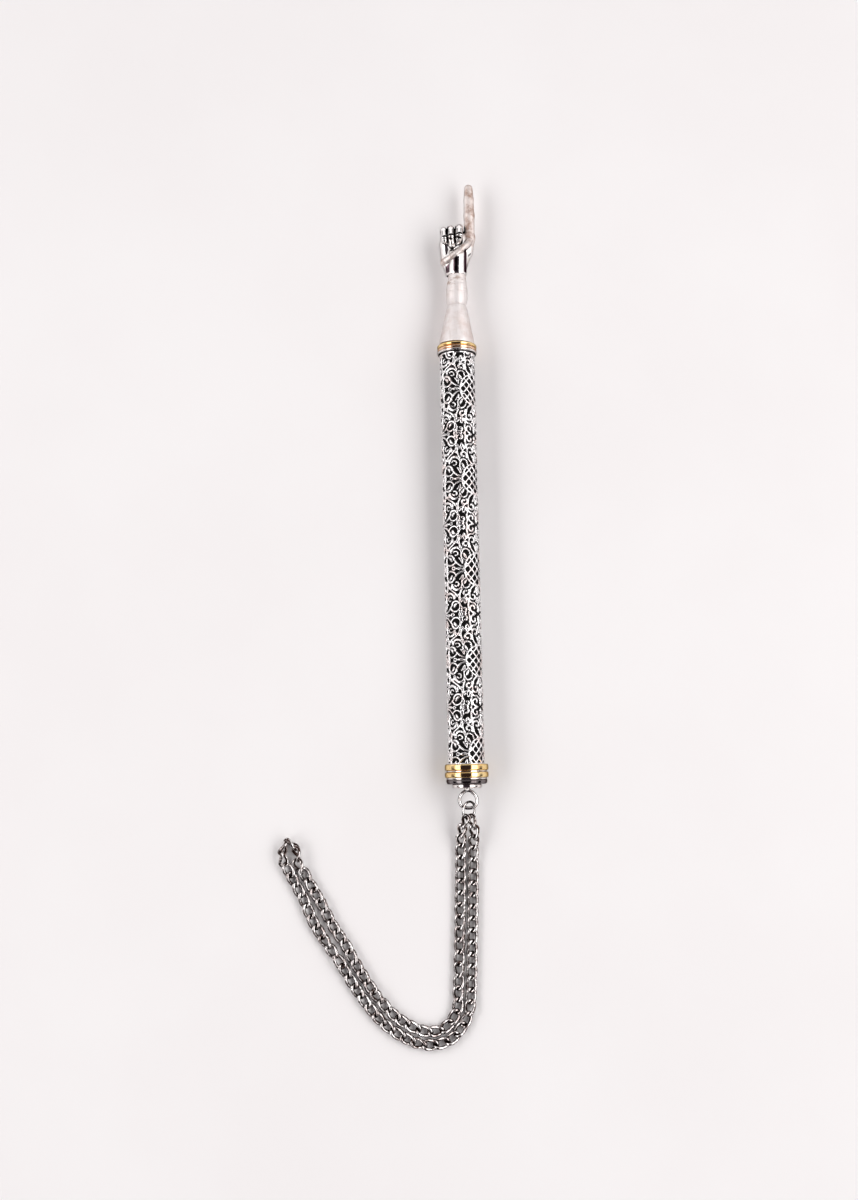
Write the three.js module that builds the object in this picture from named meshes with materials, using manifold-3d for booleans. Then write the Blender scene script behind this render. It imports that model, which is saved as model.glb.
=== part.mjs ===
// A pointer for reading a scroll: a cast pointing hand on a bell-shaped cuff, a collar of turned rings,
// a blackened tube in a pierced relief sleeve, a ferrule of turned rings, and a doubled curb chain
// on a jump ring. It lies on a flat surface. Millimetres, +Z up, the finger points along +Y.
import * as THREE from "three";
import { mergeVertices } from "three/addons/utils/BufferGeometryUtils.js";
import Module from "manifold-3d";

const wasm = await Module();
wasm.setup();

// Driving dimensions. "Along" is measured up the pointer's axis from the middle of the ferrule's rings.
const FERRULE_RADIUS = 7.8;
const AXIS_HEIGHT = FERRULE_RADIUS; // the ferrule is the widest piece, so the pointer lies on it
const ALONG_AT_ORIGIN = 99.8; // the middle of the rigid length, from the jump ring to the fingertip
const SIDES = 24;
const RUNNING_GAP = 0.25;

const SLEEVE_RADIUS = 6.6;
const CORE_RADIUS = 5.8;
const CORE_BORE = 5.0;
const PLUG_RADIUS = 4.75;
const RING_BORE = 4.9;
const PLUG_REACH = 10; // how far each plug goes into the tube
const NUT_RECESS = { radius: 3.6, depth: 3.4 };
const NUT = { radius: 3.1, thickness: 2 };
const ROD_WASHER = { radius: 3.3, thickness: 0.5 };
const ROD_RADIUS = 1.5;
const ROD_BORE = 1.8;
const ROD_GRIP = 6; // the rod's thread in the upper plug
const STUD_RADIUS = 1.2;
const STUD_BORE = 2.0; // in the upper plug, wide enough for the canted stud
const STUD_GRIP = 8; // the stud's thread in the hand
const CUFF_BORE = 1.6;
const SHANK_RADIUS = 0.8;

const FERRULE_BOTTOM = -6.4;
const COLLAR_TOP = 155.6;
const HAND_BASE = 182.4;
const HAND_CANT = THREE.MathUtils.degToRad(-2); // the cuff and hand are screwed on a little askew

// The ferrule's rings from the chain end upwards, each with its thickness and outer radius.
const FERRULE_RINGS = [
  { name: "lower_dark_ring", thickness: 1.7, radius: 7.5, finish: "blackSilver" },
  { name: "lower_silver_washer_a", thickness: 0.6, radius: 7.2, finish: "silver" },
  { name: "lower_gold_ring_a", thickness: 2.0, radius: FERRULE_RADIUS, finish: "gold" },
  { name: "lower_silver_washer_b", thickness: 0.5, radius: 7.2, finish: "silver" },
  { name: "lower_gold_ring_b", thickness: 2.3, radius: FERRULE_RADIUS, finish: "gold" },
];
const END_DISC_THICKNESS = 1.4;
const END_DISC_RADIUS = 5.2;

// The collar's rings from the cuff downwards.
const COLLAR_RINGS = [
  { name: "collar_gold_ring", thickness: 1.3, radius: 7.3, finish: "gold" },
  { name: "collar_copper_ring", thickness: 1.2, radius: 7.2, finish: "copper" },
  { name: "collar_silver_ring", thickness: 0.8, radius: 7.3, finish: "silver" },
  { name: "collar_dark_ring", thickness: 0.5, radius: 6.9, finish: "blackSilver" },
];

// The hanging eye and the jump ring through it.
const EYE_WIRE = 0.58;
const EYE_BOTTOM = -13.4;
const RING_WIRE = 0.42;
const RING_RADIUS = 3.0;
const RING_CENTRE = new THREE.Vector3(0.5, -14.2, -0.4); // from the axis
const RING_NORMAL = new THREE.Vector3(1, -0.2, 1).normalize();

// The chain: curb links, one length doubled, with both ends on the jump ring.
const CHAIN_WIDTH = 4.0;
const CHAIN_THICKNESS = 2.4;
const CHAIN_HEIGHT = CHAIN_THICKNESS / 2 + 0.05;
const CHAIN_STEP = 8.5;
const LINK_WIRE = 0.5;
const LINK_HALF_LENGTH = 2.6;
const LINK_HALF_WIDTH = 1.75;

const FINISHES = {
  silver: { color: 0xdcd8d6, roughness: 0.16, metalness: 1 },
  blackSilver: { color: 0x2b2727, roughness: 0.35, metalness: 1 },
  filigree: { color: 0xb9b4b1, roughness: 0.28, metalness: 1 },
  gold: { color: 0xd9a847, roughness: 0.18, metalness: 1 },
  copper: { color: 0xc98a5e, roughness: 0.2, metalness: 1 },
  steel: { color: 0x9a9a9e, roughness: 0.35, metalness: 1 },
  chain: { color: 0x8d8480, roughness: 0.3, metalness: 1 },
};
const MATERIALS = Object.fromEntries(
  Object.entries(FINISHES).map(([name, look]) => [name, new THREE.MeshStandardMaterial(look)]),
);

const object = new THREE.Group();
const pointer = new THREE.Group();
pointer.position.set(0, -ALONG_AT_ORIGIN, AXIS_HEIGHT);
object.add(pointer);

// The cuff and hand turn together about the collar's top face.
const handGroup = new THREE.Group();
handGroup.position.set(0, COLLAR_TOP, 0);
handGroup.rotation.z = HAND_CANT;
pointer.add(handGroup);

// The chain's places are given in the object's own frame.
const chainGroup = new THREE.Group();
object.add(chainGroup);

function addPiece(group, name, geometry, finish) {
  const mesh = new THREE.Mesh(geometry, MATERIALS[finish]);
  mesh.name = name;
  group.add(mesh);
  return mesh;
}

function toSolid(geometry) {
  const bare = geometry.clone();
  bare.deleteAttribute("normal");
  bare.deleteAttribute("uv");
  const merged = mergeVertices(bare, 1e-4);
  return new wasm.Manifold(
    new wasm.Mesh({
      numProp: 3,
      vertProperties: merged.attributes.position.array,
      triVerts: Uint32Array.from(merged.index.array),
    }),
  );
}

function toGeometry(solid) {
  const mesh = solid.getMesh();
  const geometry = new THREE.BufferGeometry();
  geometry.setAttribute("position", new THREE.BufferAttribute(mesh.vertProperties, 3));
  geometry.setIndex(new THREE.BufferAttribute(mesh.triVerts, 1));
  geometry.computeVertexNormals();
  return geometry;
}

function union(geometries) {
  const [first, ...others] = geometries.map(toSolid);
  return toGeometry(others.reduce((joined, next) => joined.add(next), first));
}

// A turned piece about the Y axis from [radius, along] points, up the outside and down the inside.
function turned(points, sides = SIDES) {
  return new THREE.LatheGeometry(points.map(([radius, along]) => new THREE.Vector2(radius, along)), sides);
}

// A ring with a bore and a rounded outer face.
function turnedRing(bottom, thickness, radius, bore) {
  const points = [[bore, bottom]];
  const crown = Math.min(0.45, thickness / 2);
  const steps = 4;
  for (let i = 0; i <= steps; i += 1) {
    const turn = -Math.PI / 2 + (Math.PI * i) / steps;
    points.push([radius - crown + crown * Math.cos(turn), bottom + (thickness * (1 + Math.sin(turn))) / 2]);
  }
  points.push([bore, bottom + thickness], [bore, bottom]);
  return turned(points);
}

function plainTube(bottom, top, radius, bore, sides = SIDES) {
  return turned([[bore, bottom], [radius, bottom], [radius, top], [bore, top], [bore, bottom]], sides);
}

function plainBar(bottom, top, radius) {
  return turned([[0, bottom], [radius, bottom], [radius, top], [0, top]], 16);
}

function closedWire(points, wire, steps, sides = 8) {
  const curve = new THREE.CatmullRomCurve3(points, true, "catmullrom", 0.5);
  return new THREE.TubeGeometry(curve, steps, wire, sides, true);
}

// A stack of rings; each entry's thickness adds to the last. Returns where the stack ends.
function addRings(rings, start, direction) {
  let along = start;
  for (const { name, thickness, radius, finish } of rings) {
    const bottom = direction > 0 ? along : along - thickness;
    addPiece(pointer, name, turnedRing(bottom, thickness, radius, RING_BORE), finish);
    along += direction * thickness;
  }
  return along;
}

// Ferrule, collar and the tube between them.
const discTop = FERRULE_BOTTOM + END_DISC_THICKNESS;
const tubeBottom = addRings(FERRULE_RINGS, discTop, 1);
const tubeTop = addRings(COLLAR_RINGS, COLLAR_TOP, -1);
const sleeveBore = CORE_RADIUS + 0.05;
addPiece(pointer, "filigree_sleeve", plainTube(tubeBottom, tubeTop, SLEEVE_RADIUS, sleeveBore), "filigree");
addPiece(pointer, "core_tube", plainTube(tubeBottom, tubeTop, CORE_RADIUS, CORE_BORE), "blackSilver");

// The plugs that centre the tube and the rings, and the rod that clamps the stack.
const lowerShelf = discTop + NUT_RECESS.depth;
addPiece(
  pointer,
  "lower_plug",
  turned([
    [ROD_BORE, lowerShelf],
    [NUT_RECESS.radius, lowerShelf],
    [NUT_RECESS.radius, discTop],
    [PLUG_RADIUS, discTop],
    [PLUG_RADIUS, tubeBottom + PLUG_REACH],
    [ROD_BORE, tubeBottom + PLUG_REACH],
    [ROD_BORE, lowerShelf],
  ]),
  "steel",
);
const upperPlugBottom = tubeTop - PLUG_REACH - 2;
const upperPlugTop = COLLAR_TOP - RUNNING_GAP;
const rodTop = upperPlugBottom + ROD_GRIP;
const studSeat = rodTop + 3;
addPiece(
  pointer,
  "upper_plug",
  turned([
    [0, rodTop],
    [ROD_BORE, rodTop],
    [ROD_BORE, upperPlugBottom],
    [PLUG_RADIUS, upperPlugBottom],
    [PLUG_RADIUS, upperPlugTop],
    [STUD_BORE, upperPlugTop],
    [STUD_BORE, studSeat],
    [0, studSeat],
  ]),
  "steel",
);
addPiece(pointer, "tie_rod", plainBar(discTop + 0.4, rodTop - RUNNING_GAP, ROD_RADIUS), "steel");
const nutTop = lowerShelf - ROD_WASHER.thickness;
addPiece(pointer, "rod_washer", plainTube(nutTop, lowerShelf, ROD_WASHER.radius, ROD_BORE, 16), "steel");
addPiece(pointer, "rod_nut", plainTube(nutTop - NUT.thickness, nutTop, NUT.radius, ROD_BORE, 6), "steel");

// End disc with a hole for the eye's shank.
addPiece(
  pointer,
  "end_disc",
  turnedRing(FERRULE_BOTTOM, END_DISC_THICKNESS, END_DISC_RADIUS, SHANK_RADIUS + RUNNING_GAP),
  "silver",
);

// Hanging eye: a pear-shaped wire loop on a short shank, flat with the surface it lies over.
function eyeGeometry() {
  const outline = [
    [0, EYE_BOTTOM],
    [1.95, -12.6],
    [2.75, -10.7],
    [2.1, -8.9],
    [0, -7.2],
    [-2.1, -8.9],
    [-2.75, -10.7],
    [-1.95, -12.6],
  ];
  const loop = closedWire(outline.map(([x, y]) => new THREE.Vector3(x, y, 0)), EYE_WIRE, 28);
  const shankTop = discTop + 0.1;
  const shankBottom = -7.3;
  const shank = new THREE.CylinderGeometry(SHANK_RADIUS, SHANK_RADIUS, shankTop - shankBottom, 12);
  shank.translate(0, (shankTop + shankBottom) / 2, 0);
  return union([loop, shank]);
}
addPiece(pointer, "hanging_eye", eyeGeometry(), "silver");

const ringGeometry = new THREE.TorusGeometry(RING_RADIUS, RING_WIRE, 8, 28);
const jumpRing = addPiece(pointer, "jump_ring", ringGeometry, "silver");
jumpRing.position.copy(RING_CENTRE);
jumpRing.quaternion.setFromUnitVectors(new THREE.Vector3(0, 0, 1), RING_NORMAL);

// Cuff: a bell below, a waist and a bulb above, bored for the stud.
const cuffHeight = HAND_BASE - COLLAR_TOP;
const CUFF_GAP = 0.32;
const CUFF_OUTLINE = [
  [6.5, CUFF_GAP],
  [6.5, 0.9],
  [6.1, 3],
  [5.5, 6],
  [4.75, 10],
  [4.1, 13],
  [3.6, 15],
  [3.6, 15.9],
  [3.85, 17.5],
  [3.95, 20],
  [3.75, 22.5],
  [3.5, 24],
  [3.35, 25.2],
  [3.25, cuffHeight],
];
addPiece(
  handGroup,
  "cuff",
  turned([[CUFF_BORE, CUFF_GAP], ...CUFF_OUTLINE, [CUFF_BORE, cuffHeight], [CUFF_BORE, CUFF_GAP]]),
  "silver",
);

// Stud from the upper plug through the cuff into the hand.
const studBottom = studSeat - COLLAR_TOP + 0.5;
const studTop = cuffHeight + STUD_GRIP - 0.5;
addPiece(handGroup, "hand_stud", plainBar(studBottom, studTop, STUD_RADIUS), "steel");

// A finger segment: a round bar with ball ends, from one joint to the next.
function bar(from, to, radius, sides = 10) {
  const start = new THREE.Vector3(...from);
  const end = new THREE.Vector3(...to);
  const length = start.distanceTo(end);
  const geometry = new THREE.CapsuleGeometry(radius, length, 3, sides);
  const direction = end.clone().sub(start).normalize();
  const turn = new THREE.Quaternion().setFromUnitVectors(new THREE.Vector3(0, 1, 0), direction);
  geometry.applyQuaternion(turn);
  geometry.translate(...start.add(end).multiplyScalar(0.5).toArray());
  return geometry;
}

function ball(centre, halfSizes) {
  const geometry = new THREE.SphereGeometry(1, 16, 10);
  geometry.scale(...halfSizes);
  geometry.translate(...centre);
  return geometry;
}

// Pointing hand, palm up: first finger straight, three fingers curled onto the palm, thumb along the first.
// Places are [across, up from the hand's base, out of the palm].
function handGeometry() {
  const wrist = new THREE.CylinderGeometry(3.9, 3.25, 6, 24);
  wrist.translate(0, 3, 0);
  const pieces = [
    wrist,
    ball([0, 8.5, -0.2], [5.4, 8.5, 3.7]),
    ball([0.2, 14, -0.8], [5.9, 6.5, 3.0]),
    ball([2.4, 7.5, 1.4], [2.9, 5.4, 2.7]),
    ball([-1.6, 14.6, 0.6], [4.4, 4.6, 2.4]),
    bar([4.35, 14, -0.9], [4.25, 23, -0.9], 1.75),
    bar([4.25, 23, -0.9], [4.1, 33.4, -0.8], 1.65),
    bar([2.9, 8.5, 2.2], [3.6, 13.5, 2.5], 1.6),
    bar([3.6, 13.5, 2.5], [3.2, 17.2, 2.1], 1.4),
  ];
  const curled = [
    { across: -4.55, knuckle: 17.0, radius: 1.5 },
    { across: -1.75, knuckle: 18.0, radius: 1.6 },
    { across: 1.2, knuckle: 18.6, radius: 1.6 },
  ];
  for (const { across, knuckle, radius } of curled) {
    pieces.push(bar([across, 11, -1.2], [across, knuckle, -1.0], radius));
    pieces.push(bar([across, knuckle, -1.0], [across, knuckle - 0.6, 1.9], radius));
    pieces.push(bar([across, knuckle - 0.6, 1.9], [across * 0.85, knuckle - 6.2, 2.3], radius * 0.92));
  }
  const socket = new THREE.CylinderGeometry(CUFF_BORE, CUFF_BORE, 2 * STUD_GRIP, 16);
  const cast = pieces.map(toSolid).reduce((joined, next) => joined.add(next));
  return toGeometry(cast.subtract(toSolid(socket)));
}
const hand = addPiece(handGroup, "pointing_hand", handGeometry(), "silver");
hand.position.set(0, cuffHeight, 0);

// Chain. Each strand's route is a list of [x, y, z] in the object's frame.
const LAID = CHAIN_HEIGHT;
const ROUTES = {
  chain_near_left: [
    [-2.3, -121.2, 5.2],
    [-2.8, -124.8, 2.9],
    [-2.9, -128.6, 1.5],
    [-2.9, -133, LAID],
    [-3.1, -139.5, LAID],
    [-3.6, -153.5, LAID],
    [-4.2, -167.5, LAID],
    [-4.8, -179.5, LAID],
    [-5.1, -184.2, LAID],
  ],
  chain_near_right: [
    [2.4, -121.2, 4.8],
    [2.3, -124.8, 2.7],
    [2.1, -128.6, 1.5],
    [1.9, -133, LAID],
    [1.7, -139.5, LAID],
    [1.2, -153.5, LAID],
    [0.6, -167.5, LAID],
    [-0.2, -180.5, LAID],
    [-1.6, -186.6, LAID],
  ],
  chain_far_inner: [
    [-9.4, -190, LAID],
    [-12, -190.9, LAID],
    [-15.7, -191, LAID],
    [-19.3, -190, LAID],
    [-26.4, -186.1, LAID],
    [-31.8, -180.4, LAID],
    [-37.6, -172.4, LAID],
    [-40.6, -167, LAID],
    [-43.5, -161, LAID],
    [-48, -154.2, LAID],
    [-53.3, -144, LAID],
    [-57.4, -137.8, LAID],
  ],
  chain_far_outer: [
    [-6.3, -193.1, LAID],
    [-9.1, -194.9, LAID],
    [-12.6, -195.9, LAID],
    [-16.7, -196.1, LAID],
    [-20.9, -195, LAID],
    [-27.9, -191.1, LAID],
    [-35, -184.5, LAID],
    [-40.4, -177, LAID],
    [-45, -169.8, LAID],
    [-51.6, -160.4, LAID],
    [-56.4, -152.5, LAID],
    [-58.6, -147, LAID],
    [-62.2, -138.5, LAID],
  ],
};

// An eight-sided oval section, across by up.
function chainSection(across, up) {
  const scale = 0.5 / Math.cos(Math.PI / 8);
  const corners = [];
  for (let i = 0; i < 8; i += 1) {
    const turn = (Math.PI * (2 * i + 1)) / 8;
    corners.push(new THREE.Vector2(across * Math.cos(turn) * scale, up * Math.sin(turn) * scale));
  }
  return new THREE.Shape(corners);
}

// The section's axes swap when the strand starts level, because of how a path's first normal is chosen.
function strandGeometry(points) {
  const places = points.map((point) => new THREE.Vector3(...point));
  const curve = new THREE.CatmullRomCurve3(places, false, "centripetal");
  const level = points[0][2] === points[1][2];
  const section = level
    ? chainSection(CHAIN_THICKNESS, CHAIN_WIDTH)
    : chainSection(CHAIN_WIDTH, CHAIN_THICKNESS);
  const steps = Math.ceil(curve.getLength() / CHAIN_STEP) + 4;
  return new THREE.ExtrudeGeometry(section, { steps, bevelEnabled: false, extrudePath: curve });
}

for (const [name, points] of Object.entries(ROUTES)) {
  addPiece(chainGroup, name, strandGeometry(points), "chain");
}

// The doubled end of the chain, piled where it folds back.
function foldGeometry() {
  const outline = [
    [-59.8, -136.2],
    [-64.2, -136.4],
    [-69.2, -131.5],
    [-68.8, -127],
    [-64.8, -123.6],
    [-61.2, -124.2],
    [-58.8, -128.5],
    [-58.0, -133.5],
  ];
  const shape = new THREE.Shape(outline.map(([x, y]) => new THREE.Vector2(x, y)));
  const geometry = new THREE.ExtrudeGeometry(shape, { depth: 4.2, bevelEnabled: false });
  geometry.translate(0, 0, 0.05);
  return geometry;
}
addPiece(chainGroup, "chain_fold", foldGeometry(), "chain");

// The oval end link of each strand hangs on the jump ring and slopes down to the strand.
// Its plane is square to the ring's wire, which runs along "wire" there.
function endLinkGeometry(onRing, wire, strandStart) {
  const slack = 0.7;
  const reach = strandStart.clone().sub(onRing).normalize();
  const width = new THREE.Vector3().crossVectors(wire, reach).normalize();
  const centre = onRing.clone().addScaledVector(reach, LINK_HALF_LENGTH - LINK_WIRE - RING_WIRE - slack);
  const points = [];
  for (let i = 0; i < 8; i += 1) {
    const turn = (Math.PI * i) / 4;
    points.push(
      centre
        .clone()
        .addScaledVector(reach, LINK_HALF_LENGTH * Math.cos(turn))
        .addScaledVector(width, LINK_HALF_WIDTH * Math.sin(turn)),
    );
  }
  return closedWire(points, LINK_WIRE, 20, 6);
}

object.updateMatrixWorld(true);
const ringAcross = new THREE.Vector3(1, 0, -1).normalize();
const ringDown = new THREE.Vector3().crossVectors(ringAcross, RING_NORMAL).normalize();
for (const [side, turn] of [["left", -0.4], ["right", 0.4]]) {
  const onRing = RING_CENTRE.clone()
    .addScaledVector(ringDown, RING_RADIUS * Math.cos(turn))
    .addScaledVector(ringAcross, RING_RADIUS * Math.sin(turn))
    .applyMatrix4(pointer.matrixWorld);
  const wire = ringAcross.clone().multiplyScalar(Math.cos(turn)).addScaledVector(ringDown, -Math.sin(turn));
  const start = new THREE.Vector3(...ROUTES[`chain_near_${side}`][0]);
  addPiece(chainGroup, `chain_end_link_${side}`, endLinkGeometry(onRing, wire, start), "chain");
}

export default object;
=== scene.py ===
# Looks of a scroll pointer: a cast pointing hand on a bell cuff, turned rings, a relief sleeve and
# a doubled curb chain on a jump ring. Lengths below are millimetres, and make_mesh turns them into metres.
# The pointer lies along Y, fingertip toward +Y, with the floor at z = 0.
import math

import bpy
import numpy as np
from mathutils import Euler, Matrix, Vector


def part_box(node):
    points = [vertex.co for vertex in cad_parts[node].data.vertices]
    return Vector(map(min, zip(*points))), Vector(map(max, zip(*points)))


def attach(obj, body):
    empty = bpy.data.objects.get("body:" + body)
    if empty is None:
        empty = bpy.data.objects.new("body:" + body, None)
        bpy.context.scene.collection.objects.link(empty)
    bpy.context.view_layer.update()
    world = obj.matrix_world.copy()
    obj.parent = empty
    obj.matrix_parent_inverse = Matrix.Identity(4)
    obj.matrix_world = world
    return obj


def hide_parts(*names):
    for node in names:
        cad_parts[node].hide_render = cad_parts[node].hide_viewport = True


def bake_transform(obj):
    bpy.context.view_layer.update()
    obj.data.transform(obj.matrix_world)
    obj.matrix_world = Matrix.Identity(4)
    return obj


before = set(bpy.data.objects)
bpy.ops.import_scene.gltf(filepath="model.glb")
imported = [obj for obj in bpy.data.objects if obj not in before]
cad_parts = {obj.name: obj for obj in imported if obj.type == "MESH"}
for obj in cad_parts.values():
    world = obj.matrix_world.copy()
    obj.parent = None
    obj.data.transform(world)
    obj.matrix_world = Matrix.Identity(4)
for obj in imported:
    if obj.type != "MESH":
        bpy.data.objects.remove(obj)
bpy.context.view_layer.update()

MM = 0.001
SEED = 7


def box(node):
    """Lowest and highest corner of a CAD node, in millimetres."""
    low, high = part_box(node)
    return np.array(low) / MM, np.array(high) / MM


# ---- places taken from the frame
sleeve_low, sleeve_high = box("filigree_sleeve")
AXIS_X = (sleeve_low[0] + sleeve_high[0]) / 2
AXIS_Z = (sleeve_low[2] + sleeve_high[2]) / 2
SLEEVE_RADIUS = (sleeve_high[0] - sleeve_low[0]) / 2
COLLAR_TOP = box("collar_gold_ring")[1][1]
disc_low, disc_high = box("end_disc")
DISC_LOW, DISC_HIGH = disc_low[1], disc_high[1]
PART_SHIFT = -99.8  # from the part's own places along Y to the frame's

# ---- camera
CAMERA_PLACE = (-0.01342, -0.09954, 0.5168)
CAMERA_TILT = math.radians(6.84)
CAMERA_TURN = math.radians(-1.16)
CAMERA_LENS = 42.51

camera = bpy.data.objects.new("camera", bpy.data.cameras.new("camera"))
camera.data.sensor_width = 36.0
camera.data.lens = CAMERA_LENS
camera.data.clip_start = 0.01
camera.data.clip_end = 100.0
camera.location = CAMERA_PLACE
camera.rotation_euler = Euler((CAMERA_TILT, 0.0, CAMERA_TURN), "XYZ")
bpy.context.collection.objects.link(camera)
bpy.context.scene.camera = camera


# ---- mesh helpers
def make_mesh(name, points, faces, sharp=None):
    """A smooth-shaded mesh from points in millimetres. Edges sharper than the angle sharp stay crisp."""
    mesh = bpy.data.meshes.new(name)
    mesh.from_pydata((np.asarray(points, float) * MM).tolist(), [], [list(map(int, face)) for face in faces])
    mesh.validate()
    mesh.shade_smooth()
    if sharp is not None:
        mesh.set_sharp_from_angle(angle=math.radians(sharp))
    thing = bpy.data.objects.new(name, mesh)
    bpy.context.collection.objects.link(thing)
    return thing


def add_attribute(thing, name, values):
    attribute = thing.data.attributes.new(name, "FLOAT", "POINT")
    attribute.data.foreach_set("value", np.asarray(values, np.float32))


def stand_in(thing, node, body="pointer"):
    """The mesh replaces a CAD node and moves with a body."""
    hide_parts(node)
    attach(thing, body)


def grid_faces(rows, columns, close_rows, close_columns, start=0):
    """Four-sided faces over a rows by columns lattice of points."""
    r = np.arange(rows if close_rows else rows - 1)
    c = np.arange(columns if close_columns else columns - 1)
    r, c = np.meshgrid(r, c, indexing="ij")
    r2, c2 = (r + 1) % rows, (c + 1) % columns
    corners = [r * columns + c, r * columns + c2, r2 * columns + c2, r2 * columns + c]
    return np.stack(corners, -1).reshape(-1, 4) + start


def unit(vectors):
    """The same directions at length 1."""
    vectors = np.asarray(vectors, float)
    return vectors / np.linalg.norm(vectors, axis=-1, keepdims=True)


def smooth_line(points, closed=False, steps=24):
    """A centripetal Catmull-Rom curve through the points, as a dense polyline."""
    p = np.asarray(points, float)
    if closed:
        p = np.vstack([p[-1], p, p[0], p[1]])
    else:
        p = np.vstack([2 * p[0] - p[1], p, 2 * p[-1] - p[-2]])
    line = []
    for a, b, c, d in zip(p[:-3], p[1:-2], p[2:-1], p[3:]):
        t1 = np.linalg.norm(b - a) ** 0.5
        t2 = t1 + np.linalg.norm(c - b) ** 0.5
        t3 = t2 + np.linalg.norm(d - c) ** 0.5
        t = np.linspace(t1, t2, steps, endpoint=False)[:, None]
        a1 = a + (b - a) * (t / t1)
        a2 = b + (c - b) * ((t - t1) / (t2 - t1))
        a3 = c + (d - c) * ((t - t2) / (t3 - t2))
        b1 = a1 + (a2 - a1) * (t / t2)
        b2 = a2 + (a3 - a2) * ((t - t1) / (t3 - t1))
        line.append(b1 + (b2 - b1) * ((t - t1) / (t2 - t1)))
    if not closed:
        line.append(p[-2][None])
    return np.vstack(line)


def limit(values):
    """Values held between 0 and 1."""
    return np.clip(values, 0, 1)


def measure(line):
    """How far along a polyline each of its points lies."""
    return np.concatenate([[0.0], np.cumsum(np.linalg.norm(np.diff(line, axis=0), axis=1))])


def at_length(line, places):
    """Points at the given lengths along a polyline."""
    run = measure(line)
    return np.stack([np.interp(places, run, line[:, i]) for i in range(3)], -1)


LID_RADIUS, LID_RISE = 0.72, 0.22  # the end face of an open wire, as parts of its radius


def swept(line, radius, sides, closed):
    """Points and faces of a round wire along a line. An open wire gets chamfered flat ends."""
    line = np.asarray(line, float)
    count = len(line)
    if closed:
        tangents = unit(np.roll(line, -1, 0) - np.roll(line, 1, 0))
    else:
        tangents = unit(np.gradient(line, axis=0))
    normal = np.cross(tangents[0], [0.3, 0.2, 0.93])
    normals = []
    for tangent in tangents:
        normal = unit(normal - tangent * np.dot(normal, tangent))
        normals.append(normal)
    normals = np.array(normals)
    sides_of = np.cross(tangents, normals)
    if closed:
        end = unit(normals[-1] - tangents[0] * np.dot(normals[-1], tangents[0]))
        twist = math.atan2(np.dot(end, sides_of[0]), np.dot(end, normals[0]))
        back = -twist * np.arange(count) / count
        c, s = np.cos(back)[:, None], np.sin(back)[:, None]
        normals, sides_of = normals * c + sides_of * s, sides_of * c - normals * s
    turn = circle(sides)
    around = normals[:, None] * np.cos(turn)[None, :, None] + sides_of[:, None] * np.sin(turn)[None, :, None]
    points = (line[:, None] + around * radius).reshape(-1, 3)
    faces = grid_faces(count, sides, closed, True)
    if closed:
        return points, faces
    faces = faces.tolist()
    for row, tangent in ((0, -tangents[0]), (count - 1, tangents[-1])):
        rim = np.arange(row * sides, (row + 1) * sides)
        inset = len(points) + np.arange(sides)
        lid_points = line[row] + around[row] * radius * LID_RADIUS + tangent * radius * LID_RISE
        points = np.vstack([points, lid_points])
        ring = [[rim[i], rim[(i + 1) % sides], inset[(i + 1) % sides], inset[i]] for i in range(sides)]
        lid = list(inset)
        if row == 0:
            ring = [face[::-1] for face in ring]
            lid = lid[::-1]
        faces += [face[::-1] for face in ring] + [lid[::-1]]
    return points, faces


CREST_FROM, CREST_SLOPE = 0.45, 0.5


def crest(points, line, sides):
    """How far round a lying wire each point is: 1 along its top and underside, 0 down its flanks."""
    facing = unit(points.reshape(len(line), sides, 3) - line[:, None])
    return limit((np.abs(facing[..., 2]) - CREST_FROM) / CREST_SLOPE).ravel()


def circle(steps):
    return np.linspace(0, 2 * math.pi, steps, endpoint=False)


def revolved(profile, centre, sides):
    """[radius, y] points turned about an axis along Y."""
    profile = np.asarray(profile, float)
    x = centre[0] + profile[:, 0][:, None] * np.cos(circle(sides))
    z = centre[1] + profile[:, 0][:, None] * np.sin(circle(sides))
    return np.stack([x, np.repeat(profile[:, 1][:, None], sides, 1), z], -1).reshape(-1, 3)


TURNED_SIDES = 144


def lathe(name, profile, sharp):
    """A closed turned piece about the pointer's axis, from [radius, y] points."""
    points = revolved(profile, (AXIS_X, AXIS_Z), TURNED_SIDES)
    return make_mesh(name, points, grid_faces(len(profile), TURNED_SIDES, True, True), sharp)


# ---- chain
# The line runs from the jump ring's left out to the fold and back to its right. It goes through the part's
# own route points, except at the fold, where the part has only a rough solid.
LAID = 1.25  # height of the chain's line where it lies flat
NEAR_LEFT = [
    (-2.3, -121.2, 5.2), (-2.8, -124.8, 2.9), (-2.9, -128.6, 1.5), (-2.9, -133.0, LAID), (-3.1, -139.5, LAID),
    (-3.6, -153.5, LAID), (-4.2, -167.5, LAID), (-4.8, -179.5, LAID), (-5.1, -184.2, LAID),
]
NEAR_RIGHT = [
    (2.4, -121.2, 4.8), (2.3, -124.8, 2.7), (2.1, -128.6, 1.5), (1.9, -133.0, LAID), (1.7, -139.5, LAID),
    (1.2, -153.5, LAID), (0.6, -167.5, LAID), (-0.2, -180.5, LAID), (-1.6, -186.6, LAID),
]
FAR_INNER = [
    (-9.4, -190.0, LAID), (-12.0, -190.9, LAID), (-15.7, -191.0, LAID), (-19.3, -190.0, LAID),
    (-26.4, -186.1, LAID), (-31.8, -180.4, LAID), (-37.6, -172.4, LAID), (-40.6, -167.0, LAID),
    (-43.5, -161.0, LAID), (-48.0, -154.2, LAID), (-53.3, -144.0, LAID), (-57.4, -137.8, LAID),
]
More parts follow.
